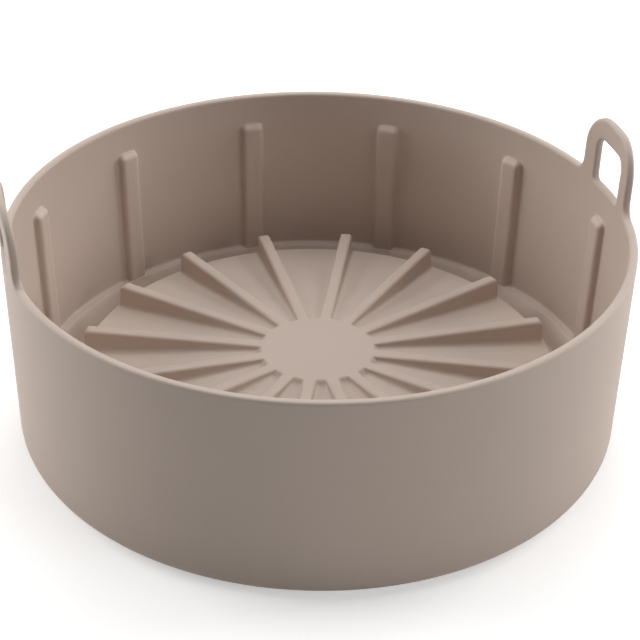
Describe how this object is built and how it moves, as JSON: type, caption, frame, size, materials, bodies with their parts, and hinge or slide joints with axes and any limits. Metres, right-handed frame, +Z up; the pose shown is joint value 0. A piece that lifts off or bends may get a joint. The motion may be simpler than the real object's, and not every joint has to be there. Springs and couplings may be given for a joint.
{
  "type": "air fryer liner",
  "caption": "Round silicone air fryer liner, moulded in one piece, with a ribbed raised floor, a drip gutter, a ribbed straight wall and loop handles.",
  "frame": {"origin": "centre of the resting plane under the liner", "axes": "+Z up, +X through the middle of one loop handle, +Y across the handles"},
  "size_m": [0.2008, 0.2, 0.0927],
  "materials": {
    "silicone": "matte"
  },
  "bodies": {
    "root": {"liner": "silicone"}
  },
  "joints": []
}
